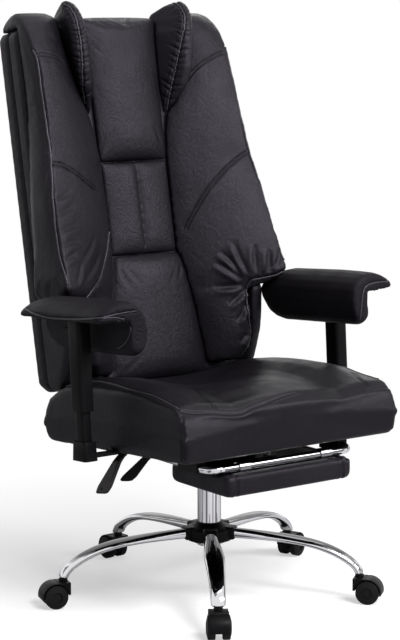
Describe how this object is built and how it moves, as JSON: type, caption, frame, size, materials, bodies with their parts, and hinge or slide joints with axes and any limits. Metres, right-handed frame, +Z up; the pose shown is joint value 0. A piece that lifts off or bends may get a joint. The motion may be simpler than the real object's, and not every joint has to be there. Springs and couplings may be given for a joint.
{
  "type": "reclining office chair with footrest",
  "caption": "High-backed swivel office chair with a winged reclining back, padded height-adjustable arms, star base on casters and a slide-out, flip-over footrest.",
  "frame": {"origin": "on the floor, at the middle of the overall width and depth, at rest", "axes": "+Z up; the chair faces -Y; +X is the seated person's left"},
  "size_m": [0.7542, 0.7386, 1.2422],
  "materials": {
    "leather": "black padded leather with a fine grain, soft sheen, piped and stitched seams",
    "chrome": "polished chrome plating",
    "black_nylon": "black moulded nylon, satin",
    "caster_tyre": "black moulded nylon wheels",
    "gloss_grip": "glossy black plastic",
    "black_steel": "black powder coat",
    "steel": "bright steel",
    "plywood": "raw plywood"
  },
  "bodies": {
    "base": {"star_base": "chrome", "hub_boot": "black_nylon", "column_tube": "chrome", "column_guide_bush": "black_nylon"},
    "lift_rod": {"lift_rod": "steel", "retaining_clip": "steel"},
    "seat": {"lift_cylinder": "black_steel", "mechanism_housing": "black_steel", "seat_plate": "black_steel", "seat_board": "plywood", "seat_cushion": "leather", "recline_pin": "steel", "recline_spring": "steel", "footrest_guide_left": "black_steel", "arm_bracket_left": "black_steel", "arm_foot_left": "black_nylon", "arm_post_left": "black_nylon", "footrest_guide_right": "black_steel", "arm_bracket_right": "black_steel", "arm_foot_right": "black_nylon", "arm_post_right": "black_nylon"},
    "caster_1": {"caster_hood_1": "black_nylon"},
    "caster_wheels_1": {"caster_wheels_1": "caster_tyre"},
    "caster_2": {"caster_hood_2": "black_nylon"},
    "caster_wheels_2": {"caster_wheels_2": "caster_tyre"},
    "caster_3": {"caster_hood_3": "black_nylon"},
    "caster_wheels_3": {"caster_wheels_3": "caster_tyre"},
    "caster_4": {"caster_hood_4": "black_nylon"},
    "caster_wheels_4": {"caster_wheels_4": "caster_tyre"},
    "caster_5": {"caster_hood_5": "black_nylon"},
    "caster_wheels_5": {"caster_wheels_5": "caster_tyre"},
    "back": {"back_bar": "black_steel", "back_board": "plywood", "back_cover": "leather", "back_body": "leather", "head_panel": "leather", "middle_panel": "leather", "lumbar_cushion": "leather", "wing_left": "leather", "wing_right": "leather", "ear_left": "leather", "ear_right": "leather"},
    "arm_left": {"arm_sleeve_left": "black_nylon", "arm_top_plate_left": "black_steel", "arm_pad_left": "leather"},
    "arm_trigger_left": {"height_trigger_left": "black_nylon", "release_rod_left": "steel"},
    "arm_right": {"arm_sleeve_right": "black_nylon", "arm_top_plate_right": "black_steel", "arm_pad_right": "leather"},
    "arm_trigger_right": {"height_trigger_right": "black_nylon", "release_rod_right": "steel"},
    "lift_lever": {"lift_lever_rod": "black_steel", "lift_lever_grip": "gloss_grip"},
    "recline_lever": {"recline_lever_rod": "black_steel", "recline_lever_grip": "black_nylon"},
    "footrest_frame": {"footrest_frame": "chrome"},
    "footrest_pad": {"footrest_hinge": "chrome", "footrest_pad": "leather"}
  },
  "joints": [
    {"name": "caster_swivel_1", "type": "hinge", "parent": "base", "child": "caster_1", "pos_m": [-0.17796, -0.32145, 0.06], "axis": [0, 0, 1], "continuous": true},
    {"name": "caster_roll_1", "type": "hinge", "parent": "caster_1", "child": "caster_wheels_1", "pos_m": [-0.18891, -0.33818, 0.02469], "axis": [0.8368, -0.5476, 0], "continuous": true},
    {"name": "caster_swivel_2", "type": "hinge", "parent": "base", "child": "caster_2", "pos_m": [0.20365, -0.30279, 0.06], "axis": [0, 0, 1], "continuous": true},
    {"name": "caster_roll_2", "type": "hinge", "parent": "caster_2", "child": "caster_wheels_2", "pos_m": [0.21618, -0.31837, 0.02469], "axis": [0.7793, 0.6266, 0], "continuous": true},
    {"name": "caster_swivel_3", "type": "hinge", "parent": "base", "child": "caster_3", "pos_m": [0.30382, 0.06591, 0.06], "axis": [0, 0, 1], "continuous": true},
    {"name": "caster_roll_3", "type": "hinge", "parent": "caster_3", "child": "caster_wheels_3", "pos_m": [0.32251, 0.07301, 0.02469], "axis": [-0.3551, 0.9348, 0], "continuous": true},
    {"name": "caster_swivel_4", "type": "hinge", "parent": "base", "child": "caster_4", "pos_m": [-0.01588, 0.27511, 0.06], "axis": [0, 0, 1], "continuous": true},
    {"name": "caster_roll_4", "type": "hinge", "parent": "caster_4", "child": "caster_wheels_4", "pos_m": [-0.01685, 0.29509, 0.02469], "axis": [-0.9988, -0.0489, 0], "continuous": true},
    {"name": "caster_swivel_5", "type": "hinge", "parent": "base", "child": "caster_5", "pos_m": [-0.31363, 0.03571, 0.06], "axis": [0, 0, 1], "continuous": true},
    {"name": "caster_roll_5", "type": "hinge", "parent": "caster_5", "child": "caster_wheels_5", "pos_m": [-0.33293, 0.04095, 0.02469], "axis": [-0.2622, -0.965, 0], "continuous": true},
    {"name": "seat_swivel", "type": "hinge", "parent": "base", "child": "lift_rod", "pos_m": [0, -0.0495, 0.1], "axis": [0, 0, 1], "continuous": true},
    {"name": "seat_lift", "type": "slide", "parent": "lift_rod", "child": "seat", "axis": [0, 0, 1], "range_m": [0, 0.08]},
    {"name": "back_recline", "type": "hinge", "parent": "seat", "child": "back", "pos_m": [0, 0.18244, 0.33751], "axis": [-1, 0, 0], "range_deg": [0, 40]},
    {"name": "arm_height_left", "type": "slide", "parent": "seat", "child": "arm_left", "axis": [0, 0.0715, 0.9974], "range_m": [-0.06, 0]},
    {"name": "arm_trigger_left", "type": "slide", "parent": "arm_left", "child": "arm_trigger_left", "axis": [0, 0.0715, 0.9974], "range_m": [0, 0.004], "stiffness_N_per_m": 400, "springref_m": -0.004},
    {"name": "arm_height_right", "type": "slide", "parent": "seat", "child": "arm_right", "axis": [0, 0.0715, 0.9974], "range_m": [-0.05, 0.01]},
    {"name": "arm_trigger_right", "type": "slide", "parent": "arm_right", "child": "arm_trigger_right", "axis": [0, 0.0715, 0.9974], "range_m": [0, 0.004], "stiffness_N_per_m": 400, "springref_m": -0.004},
    {"name": "lift_lever", "type": "hinge", "parent": "seat", "child": "lift_lever", "pos_m": [-0.068, 0.03413, 0.30493], "axis": [0, 0.9974, -0.0715], "range_deg": [0, 6], "stiffness_Nm_per_rad": 1.5, "springref_deg": -5.73},
    {"name": "recline_lever", "type": "hinge", "parent": "seat", "child": "recline_lever", "pos_m": [-0.068, -0.02172, 0.30893], "axis": [0, 0.9974, -0.0715], "range_deg": [0, 6], "stiffness_Nm_per_rad": 1.5, "springref_deg": -5.73},
    {"name": "footrest_slide", "type": "slide", "parent": "seat", "child": "footrest_frame", "axis": [0, -1, 0], "range_m": [0, 0.19]},
    {"name": "footrest_flip", "type": "hinge", "parent": "footrest_frame", "child": "footrest_pad", "pos_m": [0, -0.3015, 0.33], "axis": [-1, 0, 0], "range_deg": [0, 180]}
  ],
  "couplings": [
    {"joint": "footrest_flip", "follows": "footrest_slide", "rad_per_m": 16.534}
  ]
}
